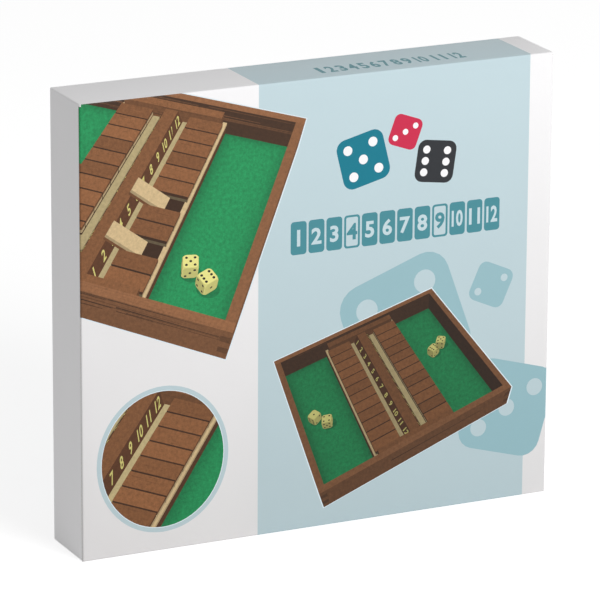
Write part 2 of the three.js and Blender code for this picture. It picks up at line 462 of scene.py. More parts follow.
def thick(outlines, place, front, back):
    """Flat outlines with a thickness: their points, each put in place from three values, and faces."""
    points = [place(x, y, level) for level in (front, back) for outline in outlines for x, y in outline]
    faces = []
    start = 0
    for outline in outlines:
        faces.append(tuple(range(start, start + len(outline))))
        start += len(outline)
    return points, closed_sheet(faces, start)


# Flat drawings: lists of (outline, ink), later ones on top, in millimetres from the lower left corner

face_width = carton_width / MM
face_height = carton_height / MM
panel_left, panel_right = 122, 316
white_high, white_low = srgb(251, 250, 251), srgb(226, 224, 224)
blue_high, blue_low = srgb(199, 219, 225), srgb(185, 203, 208)
motif_high, motif_low = srgb(158, 194, 202), srgb(148, 185, 193)
teal = srgb(74, 141, 152)
deep_teal = srgb(16, 122, 142)
crimson = srgb(206, 44, 78)
charcoal = srgb(44, 46, 50)
merge_distance = 0.002
smallest_area = 0.01


def fading(high, low):
    """An ink that goes from one colour at the top of the face to another at its foot."""
    return lambda u, v: mix(low, high, min(1.0, max(0.0, v / face_height)))


white_ink = fading(white_high, white_low)
blue_ink = fading(blue_high, blue_low)
motif_ink = fading(motif_high, motif_low)


def ground_ink(u, v):
    return (blue_ink if panel_left < u < panel_right else white_ink)(u, v)


def ink_values(ink, places):
    """The colours of an ink at some places; an ink is a colour, or a function of the place."""
    return [ink(*place) if callable(ink) else ink for place in places]


def rectangle(left, bottom, right, top):
    return [(left, bottom), (right, bottom), (right, top), (left, top)]


def turned(place, turn, centre=(0, 0)):
    """A place turned about zero, and then moved along with the centre."""
    x, y = place
    return (centre[0] + x * math.cos(turn) - y * math.sin(turn),
            centre[1] + x * math.sin(turn) + y * math.cos(turn))


def oval(centre, radius_x, radius_y, sides):
    angles = [2 * math.pi * index / sides for index in range(sides)]
    return [(centre[0] + radius_x * math.cos(a), centre[1] + radius_y * math.sin(a)) for a in angles]


def rounded_rectangle(centre, width, height, radius, turn=0.0, steps=5):
    points = []
    for corner, (side_x, side_y) in enumerate(((1, -1), (1, 1), (-1, 1), (-1, -1))):
        for step in range(steps + 1):
            angle = math.radians(-90 + 90 * corner + 90 * step / steps)
            points.append((side_x * (width / 2 - radius) + radius * math.cos(angle),
                           side_y * (height / 2 - radius) + radius * math.sin(angle)))
    return [turned(point, turn, centre) for point in points]


def area(outline):
    return sum(outline[i - 1][0] * y - x * outline[i - 1][1] for i, (x, y) in enumerate(outline)) / 2


def clipped(outline, window):
    """The part of an outline that lies inside a convex anticlockwise window."""
    result = list(outline)
    for index, start in enumerate(window):
        end = window[(index + 1) % len(window)]
        sides = [(end[0] - start[0]) * (y - start[1]) - (end[1] - start[1]) * (x - start[0])
                 for x, y in result]
        kept = []
        for position, point in enumerate(result):
            now, then, before = sides[position], sides[position - 1], result[position - 1]
            if (now >= 0) != (then >= 0):
                share = then / (then - now)
                kept.append((before[0] + (point[0] - before[0]) * share,
                             before[1] + (point[1] - before[1]) * share))
            if now >= 0:
                kept.append(point)
        result = kept
    return result if len(result) > 2 and abs(area(result)) > smallest_area else []


def hull_of(points):
    """The convex outline around flat points, anticlockwise."""
    outline = [points[i] for i in convex_hull_2d(points)]
    return outline if area(outline) > 0 else outline[::-1]


def holds(outline, u, v):
    """True where a place lies inside an outline."""
    odd = False
    for index, (x, y) in enumerate(outline):
        last_x, last_y = outline[index - 1]
        if (y > v) != (last_y > v) and u < (last_x - x) * (v - y) / (last_y - y) + x:
            odd = not odd
    return odd


def top_ink(drawing, u, v):
    """The ink of the last outline that holds a place."""
    return next((ink for outline, ink in reversed(drawing) if holds(outline, u, v)), ground_ink)


def arranged(drawing, window):
    """Cuts a drawing into triangles that don't overlap: places, triangles and their corners' inks."""
    drawing = [(clipped(outline, window), ink) for outline, ink in drawing]
    drawing = [(outline, ink) for outline, ink in drawing if outline]
    places, outlines = [], []
    for outline, _ in drawing:
        outlines.append(list(range(len(places), len(places) + len(outline))))
        places += [Vector((round(u, 4), round(v, 4))) for u, v in outline]
    places, _, triangles, _, _, sources = delaunay_2d_cdt(places, [], outlines, 1, merge_distance, True)
    inks = []
    for triangle, covering in zip(triangles, sources):
        middle = sum((places[i] for i in triangle), Vector((0, 0))) / 3
        ink = top_ink([drawing[i] for i in sorted(covering)], *middle)
        inks += ink_values(ink, [places[i] for i in triangle])
    return places, triangles, inks


def finished_mesh(*carriers):
    """The mesh that the first object shows, with its modifiers; then all the objects go."""
    shown = carriers[0].evaluated_get(bpy.context.evaluated_depsgraph_get())
    mesh = bpy.data.meshes.new_from_object(shown)
    for carrier in carriers:
        bpy.data.objects.remove(carrier)
    return mesh


def glyph_faces(text, height, slant=0.0, weight=0.0, widest=None):
    """The filled faces of a number in a plain font, centred on zero and no wider than the widest."""
    curve = bpy.data.curves.new("number", "FONT")
    curve.body = text
    curve.shear = slant
    curve.offset = weight
    curve.resolution_u = 3
    mesh = finished_mesh(add_object("number", curve))
    places = [vertex.co.xy for vertex in mesh.vertices]
    low, high = (Vector((pick(p.x for p in places), pick(p.y for p in places))) for pick in (min, max))
    size = height / (high.y - low.y)
    narrow = min(1.0, widest / ((high.x - low.x) * size)) if widest else 1.0
    stretch = Vector((size * narrow, size))
    faces = [[tuple((places[i] - (low + high) / 2) * stretch) for i in polygon.vertices]
             for polygon in mesh.polygons]
    bpy.data.meshes.remove(mesh)
    return [face if area(face) > 0 else face[::-1] for face in faces]


pip_layout = {
    1: [(0, 0)],
    2: [(-1, -1), (1, 1)],
    3: [(-1, -1), (0, 0), (1, 1)],
    4: [(-1, -1), (-1, 1), (1, -1), (1, 1)],
    5: [(-1, -1), (-1, 1), (0, 0), (1, -1), (1, 1)],
    6: [(-1, -1), (-1, 0), (-1, 1), (1, -1), (1, 0), (1, 1)],
}
pip_spread = 0.27
flat_corner, flat_pip = 0.2, 0.095


def draw_die_face(drawing, centre, size, count, degrees, body_ink, pip_ink):
    """A flat die face: a rounded square with its pips."""
    turn = math.radians(degrees)
    drawing.append((rounded_rectangle(centre, size, size, flat_corner * size, turn), body_ink))
    for across, up in pip_layout[count]:
        place = turned((pip_spread * size * across, pip_spread * size * up), turn, centre)
        drawing.append((oval(place, flat_pip * size, flat_pip * size, sides=20), pip_ink))


# The ridge's section and the gold numerals on its sloping faces, on the game and in its pictures

numeral_shape = dict(height=10.5 * MM, slant=0.3, weight=0.02, widest=14.0 * MM)
numeral_relief, numeral_sink = 0.12 * MM, 0.05 * MM
ridge_section = hull_of(list({(round(vertex.co.x, 6), round(vertex.co.y, 6))
                              for vertex in bpy.data.objects["number_ridge"].data.vertices}))
slope_foot, slope_head = sorted((Vector(place) for place in ridge_section if place[0] > 0),
                                key=lambda place: -place.y)[1:]
slope_up = (slope_head - slope_foot).normalized()
slope_out = Vector((-slope_up.y, slope_up.x))


def on_slope(side, along, up, out=0.0):
    """A place on a sloping face of the ridge: along the ridge, up the slope and out of it."""
    place = (slope_foot + slope_head) / 2 + slope_up * up + slope_out * out
    return Vector((side * place.x, place.y, along))


def ridge_numerals(side):
    """The faces of one side's numbers, as places along the ridge and up its slope."""
    for number in range(1, tile_count + 1):
        low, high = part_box(f"tile_{'left' if side < 0 else 'right'}_{number}")
        middle = (low.z + high.z) / 2
        for face in glyph_faces(str(number), **numeral_shape):
            yield [(middle + side * x, y) for x, y in face]


# Pictures of the wooden game on the carton: the game's own boxes, drawn in perspective

sapele_ink = srgb(130, 86, 54, 0.5)
tile_ink = srgb(138, 91, 57, 0.5)
dark_ink = srgb(98, 60, 36, 0.4)
rim_ink = srgb(150, 102, 68, 0.45)
floor_ink = srgb(56, 34, 18, 0.3)
maple_ink = srgb(212, 185, 140, 0.3)
dowel_ink = srgb(186, 168, 124, 0.3)
felt_ink = srgb(36, 146, 88, 0.55)
die_ink = srgb(230, 224, 138, 0.1)
pip_ink = srgb(46, 40, 34)
gold_print = srgb(214, 204, 122)
halo_ink = srgb(226, 238, 244)
even_light, light_way = 0.56, Vector((0.10, -0.04, 0.44))
in_shade, end_grain = 0.3, 0.72
tile_gap, raised_angle = 1.4, 154
die_size = 16
die_flat, die_corner, die_pip = 0.94 * die_size, 0.22 * die_size, 0.09 * die_size
die_light, die_edge_light = 1.08, 0.86
felt_cells, felt_edge_shade, felt_edge_reach = (7, 18), 0.42, 9.0
shadow_shift, shadow_radii, shadow_light = (3, -2), (12, 10), 0.62
touching = 0.01
board_middle = (carton_low.z + carton_high.z) / 2
tray_nodes = ("tray_floor", "tray_rail_left", "tray_rail_right", "tray_rail_bottom", "tray_rail_top")

Block = namedtuple("Block", "low high faces is_die")


def board_place(point):
    """A point as its place across and along the board and its height above the back, in mm."""
    return (point.x / MM, (point.z - board_middle) / MM, (tray_back - point.y) / MM)


def board_box(node):
    """A node's box in the board's own places."""
    first, second = (board_place(corner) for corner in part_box(node))
    return [min(pair) for pair in zip(first, second)], [max(pair) for pair in zip(first, second)]


def open_box(node, rail="end_rail"):
    """The box of the part of a node that shows between two rails."""
    low, high = board_box(node)
    low[1] = max(low[1], board_box(f"{rail}_bottom")[1][1])
    high[1] = min(high[1], board_box(f"{rail}_top")[0][1])
    return low, high


def cut_boxes(node):
    """The boxes of a long node's parts before, between and behind the end rails."""
    low, high = board_box(node)
    open_low, open_high = open_box(node)
    ends = [low[1], open_low[1], open_high[1], high[1]]
    return [([low[0], start, low[2]], [high[0], end, high[2]]) for start, end in zip(ends, ends[1:])]


def box_faces(low, high):
    """The faces of a box as (axis, side, outline), each anticlockwise seen from outside."""
    for axis in range(3):
        second, third = (axis + 1) % 3, (axis + 2) % 3
        ring = rectangle(low[second], low[third], high[second], high[third])
        for side, place in ((-1, low), (1, high)):
            yield axis, side, [along_axis(axis, place[axis], *corner) for corner in ring[::side]]


def ridge_faces():
    """The long faces of the ridge, each anticlockwise seen from outside."""
    low, high = open_box("number_ridge")
    places = [board_place(Vector((x, y, 0))) for x, y in ridge_section]
    for (first, _, first_level), (last, _, last_level) in zip(places, places[1:] + places[:1]):
        yield 0, 0, [Vector((first, low[1], first_level)), Vector((last, low[1], last_level)),
                     Vector((last, high[1], last_level)), Vector((first, high[1], first_level))]


def lifted(outline, level):
    return [Vector((x, y, level)) for x, y in outline]


def lit(ink, outline, tone=1.0):
    """The ink of a face, by the way that it faces."""
    normal = (outline[1] - outline[0]).cross(outline[2] - outline[1]).normalized()
    return shade(ink, tone * (even_light + normal.dot(light_way)))


def strips_along(outline, axis, count, chance):
    """Thin strips along the grain of a four-sided face, each with its tone."""
    along, across = outline[1] - outline[0], outline[3] - outline[0]
    if abs(along.normalized()[axis]) < 0.5:
        along, across = across, along
    for _ in range(count):
        begin, place = chance.uniform(0.0, 0.7), chance.uniform(0.04, 0.92)
        end, width = min(1.0, begin + chance.uniform(0.15, 0.5)), chance.uniform(0.015, 0.05)
        strip = [outline[0] + along * s + across * (place + w)
                 for s, w in ((begin, 0), (end, 0), (end, 0.4 * width), (begin, width))]
        yield strip, chance.uniform(0.66, 1.2)


def solid(faces, marks=()):
    """A block to be drawn, from faces with their inks; marks lie on them and don't add to its reach."""
    corners = [point for outline, _ in faces for point in outline]
    low, high = ([pick(point[axis] for point in corners) for axis in range(3)] for pick in (min, max))
    return Block(low, high, faces + list(marks), False)


def make_block(shape, ink, grain=None, strips=0, chance=None, marks=(), shaded=(), placed=None):
    """A block of one material, with strips of another tone along the grain."""
    faces = []
    tone = chance.uniform(0.8, 1.16) if chance else 1.0
    for axis, side, outline in shape:
        outline = [placed(point) for point in outline] if placed else outline
        face_tone = tone * (end_grain if grain == axis else 1.0)
        if (axis, side) in shaded:
            face_tone *= in_shade
        faces.append((outline, lit(ink, outline, face_tone)))
        if strips and grain != axis:
            for strip, amount in strips_along(outline, grain, strips, chance):
                faces.append((strip, lit(ink, outline, face_tone * amount)))
    return solid(faces, marks)


def die_block(centre, degrees, counts, felt_level):
    """A die to be drawn, turned about its upright axis; counts are the pips of its faces."""
    half = die_size / 2
    faces = []

    def put(axis, side, flat, ink=None):
        outline = []
        for place in flat[::side]:
            point = along_axis(axis, side * half, *place)
            across, along = turned(point.xy, math.radians(degrees), centre)
            outline.append(Vector((across, along, point.z + felt_level + half)))
        faces.append((outline, ink or lit(die_ink, outline, die_light)))

    for axis, side in product(range(3), (-1, 1)):
        put(axis, side, rounded_rectangle((0, 0), die_flat, die_flat, die_corner))
        for across, up in pip_layout[counts[axis]]:
            place = (pip_spread * die_size * across, pip_spread * die_size * up)
            put(axis, side, oval(place, die_pip, die_pip, sides=12), pip_ink)
    reach = Vector((half, half, 0)).length
    low = [centre[0] - reach, centre[1] - reach, felt_level]
    high = [centre[0] + reach, centre[1] + reach, felt_level + die_size]
    return Block(low, high, faces, True)


def felt_marks(low, high, dice):
    """The felt's upper side in cells, darker towards its edges and beside the dice."""
    def ink(across, along):
        edge = min(across - low[0], high[0] - across, along - low[1], high[1] - along)
        return shade(felt_ink, 1 - felt_edge_shade * math.exp(-max(0, edge) / felt_edge_reach))

    columns, rows = (evenly(low[axis], high[axis], felt_cells[axis]) for axis in (0, 1))
    for left, right in zip(columns, columns[1:]):
        for near, far in zip(rows, rows[1:]):
            yield lifted(rectangle(left, near, right, far), high[2]), ink
    for centre, _, _ in dice:
        if low[0] < centre[0] < high[0]:
            shadow = oval(turned(centre, 0, shadow_shift), *shadow_radii, sides=24)
            yield lifted(shadow, high[2]), shade(felt_ink, shadow_light)


def finger_marks(low, high, side):
    """The fingers of the side rails, seen in the ends of the bottom rail or the top rail."""
    rail_low, rail_high = board_box("tray_rail_right")
    levels = evenly(low[2], high[2], 5)
    for end, edge in ((-1, low[0]), (1, high[0])):
        inner = edge - end * (rail_high[0] - rail_low[0])
        for bottom, top in (levels[1:3], levels[3:5]):
            front = [Vector((x, (low if side < 0 else high)[1], level))
                     for x, level in rectangle(min(edge, inner), bottom, max(edge, inner), top)]
            beside = [Vector((edge, y, level)) for y, level in rectangle(low[1], bottom, high[1], top)]
            for outline, tone in ((front[::-side], 0.6), (beside[::end], 1.0)):
                yield outline, lit(rim_ink, outline, tone)


def ridge_marks(chance, strips):
    """The lighter wood on the ridge's top, and the numbers on both sloping faces."""
    low, high = open_box("number_ridge")
    half = slope_head.x / MM
    top = lifted(rectangle(-half, low[1], half, high[1]), high[2])
    yield top, lit(sapele_ink, top)
    for strip, tone in strips_along(top, 1, strips, chance):
        yield strip, lit(sapele_ink, top, tone)
    for side in (-1, 1):
        for face in ridge_numerals(side):
            yield [Vector(board_place(on_slope(side, along, up))) for along, up in face], gold_print


def tile_blocks(side, number, raised, strips, chance):
    """A tile's dark face and pale body: two blocks, or one where the tile is turned up on its rod."""
    name = f"tile_{side}_{number}"
    low, high = board_box(name)
    low[1] += tile_gap / 2
    high[1] -= tile_gap / 2
    split = low[2] + 0.5 * (high[2] - low[2])
    dark, pale = box_faces([*low[:2], split], high), box_faces(low, [*high[:2], split])
    if name not in raised:
        beside = ((1, -1), (1, 1))
        return [make_block(dark, tile_ink, 0, strips, chance, shaded=beside),
                make_block(pale, maple_ink, shaded=beside)]
    rod_low, rod_high = board_box(f"tile_rod_{side}")
    rod = (Vector(rod_low) + Vector(rod_high)) / 2
    tip = Quaternion((0, -1, 0), math.radians(raised_angle) * (1 if side == "right" else -1))

    def placed(point):
        return rod + tip @ (point - rod)

    return [solid(make_block(dark, tile_ink, placed=placed).faces
                  + make_block(pale, maple_ink, placed=placed).faces)]


def game_blocks(chance, raised, dice, strips):
    """The wooden game as blocks to be drawn; raised names the tiles that are turned up."""
    blocks = []

    def add(box, *values, **more_values):
        blocks.append(make_block(box_faces(*box), *values, **more_values))

    for node, side in (("tray_rail_bottom", -1), ("tray_rail_top", 1)):
        box = board_box(node)
        add(box, rim_ink, 0, strips * 3, chance, finger_marks(*box, side), shaded=[(1, -side)])
    for node, side in (("tray_rail_left", -1), ("tray_rail_right", 1)):
        add(open_box(node, "tray_rail"), rim_ink, 1, strips * 3, chance, shaded=[(0, -side)])
    add(board_box("tray_floor"), floor_ink)
    for node in ("end_rail_bottom", "end_rail_top"):
        add(board_box(node), sapele_ink, 0, strips * 2, chance)
    blocks.append(make_block(ridge_faces(), dark_ink, marks=ridge_marks(chance, strips * 3)))
    for side in ("left", "right"):
        felt = board_box(f"felt_bed_{side}")
        add(felt, felt_ink, marks=felt_marks(*felt, dice))
        for node, ink in ((f"divider_{side}", dark_ink), (f"divider_cap_{side}", maple_ink)):
            for box in cut_boxes(node):
                add(box, ink, 1)
        add(open_box(f"dowel_{side}"), dowel_ink, 1, strips, chance)
        for number in range(1, tile_count + 1):
            blocks += tile_blocks(side, number, raised, strips, chance)
    felt_level = board_box("felt_bed_right")[1][2]
    return blocks + [die_block(*die, felt_level) for die in dice]


def draw_game(drawing, window, centre, scale, turn, tilt, roll, distance, seed, strips, tone=1.0,
              raised=(), dice=(), halo=0.0):
    """Draws the game in perspective, inside a window of the print."""
    turn, tilt, roll = math.radians(turn), math.radians(tilt), math.radians(roll)
    level_share, upright_share = math.sin(tilt), math.cos(tilt)
    towards = (-upright_share * math.sin(turn), -upright_share * math.cos(turn), level_share)

    def project(point):
        right, back = turned(point[:2], turn)
        up = back * level_share + point[2] * upright_share
        away = back * upright_share - point[2] * level_share
        size = scale * distance / (distance + away)
        return turned((right * size, up * size), roll, centre)

    def on_level(level, ink):
        """Turns the ink of a level face, given for places of the board, into one for the print."""
        def found(u, v):
            right, up = turned(((u - centre[0]) / scale, (v - centre[1]) / scale), -roll)
            back = ((up * (distance - level * level_share) - distance * level * upright_share)
                    / (distance * level_share - up * upright_share))
            right *= (distance + back * upright_share - level * level_share) / distance
            return shade(ink(*turned((right, back), -turn)), tone)
        return found

    def behind(first, second):
        """True where the first block has to be drawn before the second."""
        if first == second or not clipped(hulls[first], hulls[second]):
            return False
        signs = set()
        for axis in range(3):
            if blocks[first].high[axis] <= blocks[second].low[axis] + touching:
                signs.add(towards[axis] > 0)
            elif blocks[second].high[axis] <= blocks[first].low[axis] + touching:
                signs.add(towards[axis] < 0)
        return signs == {True} or (not signs and first < second)

    blocks = game_blocks(random.Random(seed), raised, dice, strips)
    hulls = [hull_of([project(point) for outline, _ in block.faces for point in outline])
             for block in blocks]
    if halo:
        lows, highs = zip(*map(board_box, tray_nodes))
        corners = product(*zip(map(min, *lows), map(max, *highs)))
        outline = [Vector(place) for place in hull_of([project(corner) for corner in corners])]
        middle = sum(outline, Vector((0, 0))) / len(outline)
        outline = [place + (place - middle).normalized() * halo for place in outline]
        drawing.append((clipped(outline, window), halo_ink))
    waiting = list(range(len(blocks)))
    before = {index: {other for other in waiting if behind(other, index)} for index in waiting}
    while waiting:
        free = [index for index in waiting if not before[index].intersection(waiting)]
        chosen = (free or waiting)[0]
        waiting.remove(chosen)
        if blocks[chosen].is_die:
            drawing.append((clipped(hulls[chosen], window), shade(die_ink, die_edge_light * tone)))
        for outline, ink in blocks[chosen].faces:
            flat = [project(point) for point in outline]
            if area(flat) > 0:
                ink = on_level(outline[0].z, ink) if callable(ink) else shade(ink, tone)
                drawing.append((clipped(flat, window), ink))


# The print of the front cover

motif_dice = (((228, 128), 82, 5, 20, motif_ink, blue_ink),
              ((303, 62), 62, 3, -16, motif_ink, blue_ink),
              ((290, 148), 27, 2, -24, motif_ink, blue_ink))
sign_dice = (((196, 243), 34, 5, 14, deep_teal, white_high),
             ((226, 258), 21, 3, -20, crimson, white_high),
             ((248, 236), 28, 6, -8, charcoal, white_high))
row_left, row_right, row_middle, row_height = 144, 296, 196, 22
row_gap, row_corner, digit_gap, digit_height = 1.4, 2.2, 4.6, 11
shut_numbers, shut_frame, shut_corner = (4, 9), 2.8, 1.2
ring_centre, ring_radii, ring_border = (55, 60.5), (46, 49), 3.4
upper_picture = dict(centre=(33, 232), scale=0.61, turn=-22, tilt=46, roll=-3, distance=680, seed=11,
                     strips=7, halo=1.0, raised=("tile_right_3", "tile_right_6"),
                     dice=(((96, -70), 20, (2, 3, 5)), ((118, -82), 52, (4, 1, 6))))
lower_picture = dict(centre=(214, 86), scale=0.405, turn=19.5, tilt=50, roll=4.3, distance=730, seed=12,
                     strips=1, halo=0.8, tone=0.57,
                     dice=(((104, 20), 20, (2, 3, 6)), ((124, 30), 50, (4, 1, 5)),
                           ((-112, -14), 70, (5, 3, 4)), ((-128, 6), 30, (6, 2, 1))))
ring_picture = dict(centre=(6, 36), scale=0.795, turn=-19, tilt=42, roll=-8, distance=1500, seed=13,
                    strips=7, tone=0.9)


def draw_number_row(drawing):
    """A row of number tiles, some of them shut."""
    pitch = (row_right - row_left) / tile_count
    for number in range(1, tile_count + 1):
        centre = (row_left + pitch * (number - 0.5), row_middle)
        width = pitch - row_gap
        drawing.append((rounded_rectangle(centre, width, row_height, row_corner), teal))
        if number in shut_numbers:
            inside = rounded_rectangle(centre, width - shut_frame, row_height - shut_frame, shut_corner)
            drawing.append((inside, blue_ink))
        for face in glyph_faces(str(number), digit_height, weight=0.03, widest=pitch - digit_gap):
            face = [turned(place, 0, centre) for place in face]
            drawing.append((face, teal if number in shut_numbers else blue_high))


def draw_pictures(drawing):
    """Two pictures of the game with a halo, and a third one in a ring."""
    face = rectangle(0, 0, face_width, face_height)
    draw_game(drawing, face, **upper_picture)
    draw_game(drawing, face, **lower_picture)
    drawing.append((oval(ring_centre, *ring_radii, sides=64), blue_ink))
    for border, ink in ((ring_border - 0.5, halo_ink), (ring_border, felt_ink)):
        inside = oval(ring_centre, ring_radii[0] - border, ring_radii[1] - border, sides=64)
        drawing.append((inside, ink))
    draw_game(drawing, inside, **ring_picture)


def front_drawing():
    """The whole print of the front, from the ground up."""
    drawing = []
    for left, right, ink in ((0, panel_left, white_ink), (panel_left, panel_right, blue_ink),
                             (panel_right, face_width, white_ink)):
        drawing.append((rectangle(left, 0, right, face_height), ink))
    for die in motif_dice:
        draw_die_face(drawing, *die)
    draw_number_row(drawing)
    for die in sign_dice:
        draw_die_face(drawing, *die)
    draw_pictures(drawing)
    return drawing


# The carton: its paper lies a little inside the carton's box, to leave room for print on it

front_room, top_room, film = 0.05 * MM, 0.04 * MM, 0.03 * MM
fold_radius, fold_steps = 0.9 * MM, 4
flap_corner = 9 * MM
edge_inset = 0.05
paper_front = carton_low.y + front_room
bend_start = carton_high.z - top_room - fold_radius


def paper_place(u, v, lift=0.0):
    """The place of the front's print on the carton; its upper end bends over the top fold."""
    x = carton_low.x + fold_radius + (carton_width - 2 * fold_radius) * u / face_width
    z = carton_low.z + fold_radius + (carton_height - fold_radius) * v / face_height
    if z <= bend_start:
        return Vector((x, paper_front - lift, z))
    angle = (z - bend_start) / fold_radius
    radius = fold_radius + lift
    return Vector((x, paper_front + fold_radius - radius * math.cos(angle),
                   bend_start + radius * math.sin(angle)))


def print_height(z):
    """The inverse of paper_place below the fold: a height on the carton as a height in the print."""
    return (z - carton_low.z - fold_radius) / (carton_height - fold_radius) * face_height


def edge_inks(drawing, first, second, low, high):
    """The inks of a face on an outer edge, found a little way inside the print."""
    middle = (first + second) / 2
    inside = (min(max(middle.x, edge_inset), face_width - edge_inset),
              min(max(middle.y, low + edge_inset), high - edge_inset))
    return ink_values(top_ink(drawing, *inside), (second, first, first, second))


def make_cover_panel(drawing):
    """The printed front cover: print and rounded folds in front, brown board behind."""
    top = print_height(cover_high.z)
    places, faces, inks = arranged(drawing, rectangle(0, 0, face_width, top))
    points = [paper_place(*place) for place in places]
    rim = rim_edges(faces)
    rim_inks = [edge_inks(drawing, places[a], places[b], 0, top) for a, b in rim.items()]
    angles = [math.radians(degrees) for degrees in evenly(0, 90, fold_steps)[1:]]
    profile = [(fold_radius * math.sin(angle), fold_radius * (1 - math.cos(angle))) for angle in angles]
    profile.append((fold_radius, cover_high.y - paper_front))
    inner = {index: index for index in rim}
    for out, back in profile:
        ring = {}
        for index in rim:
            u, v = places[index]
            side = -1 if u < edge_inset else 1 if u > face_width - edge_inset else 0
            down = -1 if v < edge_inset else 0
            ring[index] = len(points)
            points.append(points[index] + Vector((side * out, back, down * out)))
        for (a, b), colours in zip(rim.items(), rim_inks):
            faces.append((inner[b], inner[a], ring[a], ring[b]))
            inks += colours
        inner = ring
    loop = [next(iter(rim))]
    while rim[loop[-1]] != loop[0]:
        loop.append(rim[loop[-1]])
    kinds = [0] * len(faces) + [1]
    faces.append([inner[index] for index in reversed(loop)])
    inks += [white_high] * len(loop)
    mesh = build_mesh("cover_panel", points, faces, [printed_paper, board_face], inks, kinds)
    soften(mesh, 40)
    new_piece("cover_panel", mesh, "cover", "cover_print", "front_cover")


def make_top_crease(drawing):
    """The upper end of the printed paper: it crosses the cover's hinge and bends over the top fold."""
    blend_reach, crease_reach = 0.1 * MM, 0.3 * MM
    hinge = cover_high.z
    levels = [print_height(z) for z in (hinge - crease_reach, hinge - blend_reach, hinge,
                                        (hinge + roof) / 2, roof, roof + blend_reach,
                                        roof + crease_reach, bend_start)]
    levels += evenly(levels[-1], face_height, fold_steps)[1:]
    flute_shade_bands = []
    for low, high in zip(levels, levels[1:]):
        band = rectangle(0, low, face_width, high)
        flute_shade_bands += [(clipped(outline, band), ink) for outline, ink in drawing]
    places, front, inks = arranged(flute_shade_bands, rectangle(0, levels[0], face_width, levels[-1]))
    points = [paper_place(*place, lift=lift) for lift in (film, film / 6) for place in places]
    inks += inks[::-1]
    for a, b in rim_edges(front).items():
        inks += edge_inks(drawing, places[a], places[b], levels[0], levels[-1])
    mesh = build_mesh("top_crease", points, closed_sheet(front, len(places)), [printed_paper], inks)
    soften(mesh, 60)
    piece = new_piece("top_crease", mesh, None, "printed_board")
    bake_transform(piece, "carton", "cover", start=(0, paper_front, roof + blend_reach),
             end=(0, paper_front, hinge - blend_reach))


def box_mesh(name, low, high, material, radius=0.0, steps=1, cuts=()):
    """A box with rounded edges, cut across at some places along x."""
    shape = bmesh.new()
    bmesh.ops.create_cube(shape, size=1)
    for vertex in shape.verts:
        vertex.co = [low[axis] if vertex.co[axis] < 0 else high[axis] for axis in range(3)]
    if radius:
        bmesh.ops.bevel(shape, geom=shape.edges[:], offset=radius, segments=steps, profile=0.5,
                        affect="EDGES")
    for place in cuts:
        bmesh.ops.bisect_plane(shape, geom=shape.verts[:] + shape.edges[:] + shape.faces[:],
                               plane_co=(place, 0, 0), plane_no=(1, 0, 0))
    return mesh_of(shape, name, material)


def with_space_cut(*parts):
    """The first mesh with the space of each other one taken out; cut faces take that one's material."""
    carriers = [add_object("space", part) for part in parts]
    for cutter in carriers[1:]:
        cut = carriers[0].modifiers.new("cut", "BOOLEAN")
        cut.operation = "DIFFERENCE"
        cut.solver = "EXACT"
        cut.material_mode = "TRANSFER"
        cut.object = cutter
    bpy.context.view_layer.update()
    return finished_mesh(*carriers)


def make_carton_shell():
    """Five walls folded from one sheet: printed outside, brown inside, rounded at the folds."""
    low = Vector((carton_low.x, paper_front, carton_low.z))
    high = Vector((carton_high.x, carton_high.y, carton_high.z - top_room))
    cuts = [carton_low.x + place * MM for place in (panel_left, panel_right)]
    outer = box_mesh("carton_shell", low, high, printed_paper, fold_radius, fold_steps, cuts)
    inside = box_mesh("inside", (low.x + board, low.y - board, low.z + board),
                      (high.x - board, high.y - board, roof), board_wall)
    front = box_mesh("front", (low.x - board, low.y - board, low.z - board),
                     (high.x + board, wall_front, roof), board_wall)
    mesh = with_space_cut(outer, inside, front)
    inks = []
    for polygon in mesh.polygons:
        middle = (polygon.center.x - carton_low.x) / MM
        for corner in polygon.loop_indices:
            place = mesh.vertices[mesh.loops[corner].vertex_index].co
            panelled = polygon.normal.z > 0.5 or polygon.normal.y > 0.5 or place.y < wall_front
            inks.append(ground_ink(middle, (place.z - carton_low.z) / MM) if panelled else white_high)
    put_inks(mesh, inks)
    soften(mesh, 40)
    new_piece("carton_shell", mesh, "carton", "printed_board", "carton_back_panel", "carton_top_wall",
              "carton_bottom_wall", "carton_left_wall", "carton_right_wall")


def make_top_numbers():
    """A row of plain numbers printed on the carton's top."""
    left, right, depth, height = 169, 277, -6.5 * MM, 14
    two_digit_room = 1.65
    rooms = [1.0 if number < 10 else two_digit_room for number in range(1, tile_count + 1)]
    unit = (right - left) / sum(rooms)
    outlines = []
    for index, room in enumerate(rooms):
        middle = carton_low.x + (left + (sum(rooms[:index]) + room / 2) * unit) * MM
        for face in glyph_faces(str(index + 1), height, weight=0.03, widest=(0.5 * room + 0.22) * unit):
            outlines.append([(middle + x * MM, depth + y * MM) for x, y in face])
    points, faces = thick(outlines, lambda *place: place, carton_high.z, carton_high.z - 1.5 * top_room)
    inks = [srgb(78, 142, 152)] * sum(len(face) for face in faces)
    mesh = build_mesh("top_numbers", points, faces, [printed_paper], inks)
    new_piece("top_numbers", mesh, "carton", "printed_board")


